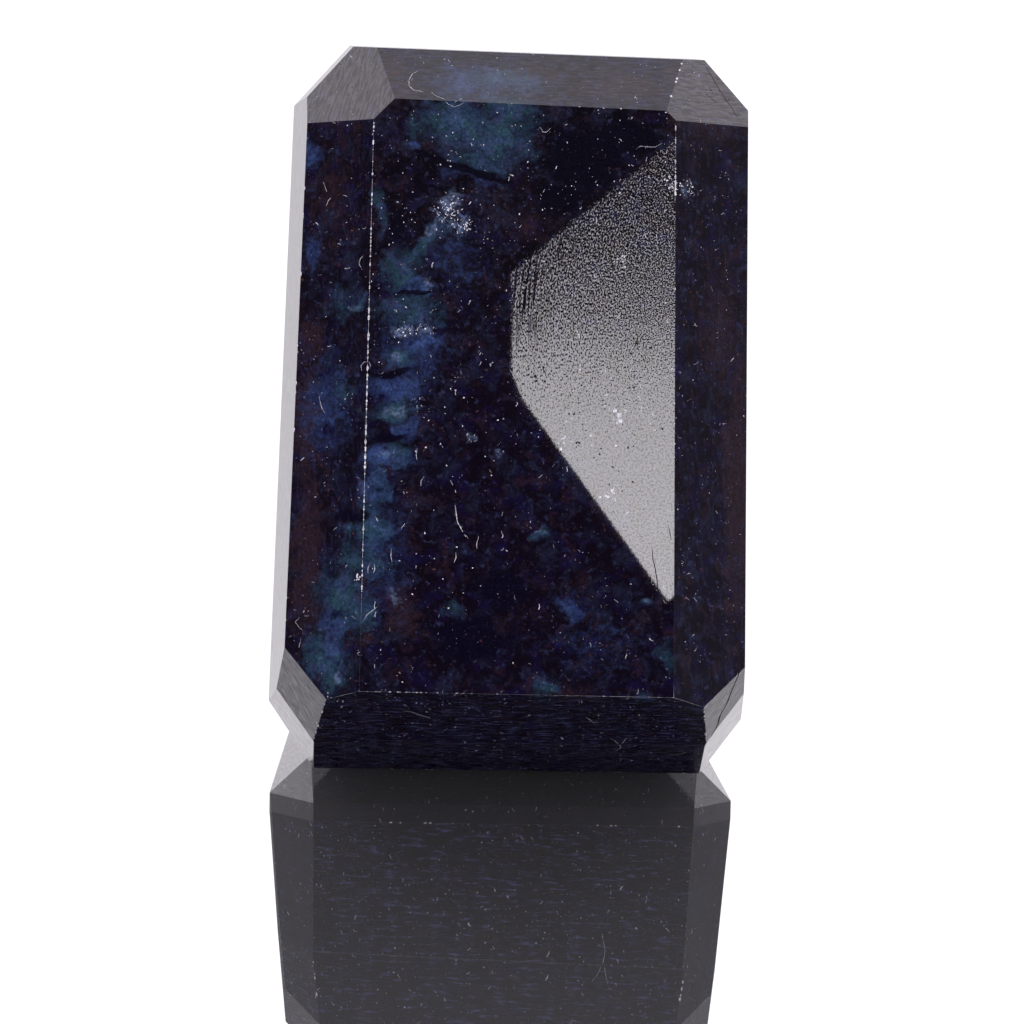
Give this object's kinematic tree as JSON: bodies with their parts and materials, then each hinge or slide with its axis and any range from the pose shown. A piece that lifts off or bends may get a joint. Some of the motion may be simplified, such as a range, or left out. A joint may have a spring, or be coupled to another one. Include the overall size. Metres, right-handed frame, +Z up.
{
  "type": "blue sapphire",
  "caption": "Large opaque dark blue sapphire in a stepped rectangular cut with clipped corners, lying on the pavilion facet at its foot end so that its table leans back.",
  "frame": {"origin": "under the middle of the stone's box, at the level of the pavilion facet that it rests on", "axes": "+Z up; +Y from the foot end of the stone to its head end, away from the viewer that the table leans towards; +X to the viewer's right, across the table"},
  "size_m": [0.0502, 0.0736, 0.0683],
  "materials": {
    "stone": "polished, nearly opaque, with lapping ripple, fine scratches and small pits"
  },
  "bodies": {
    "root": {"sapphire": "stone"}
  },
  "joints": []
}
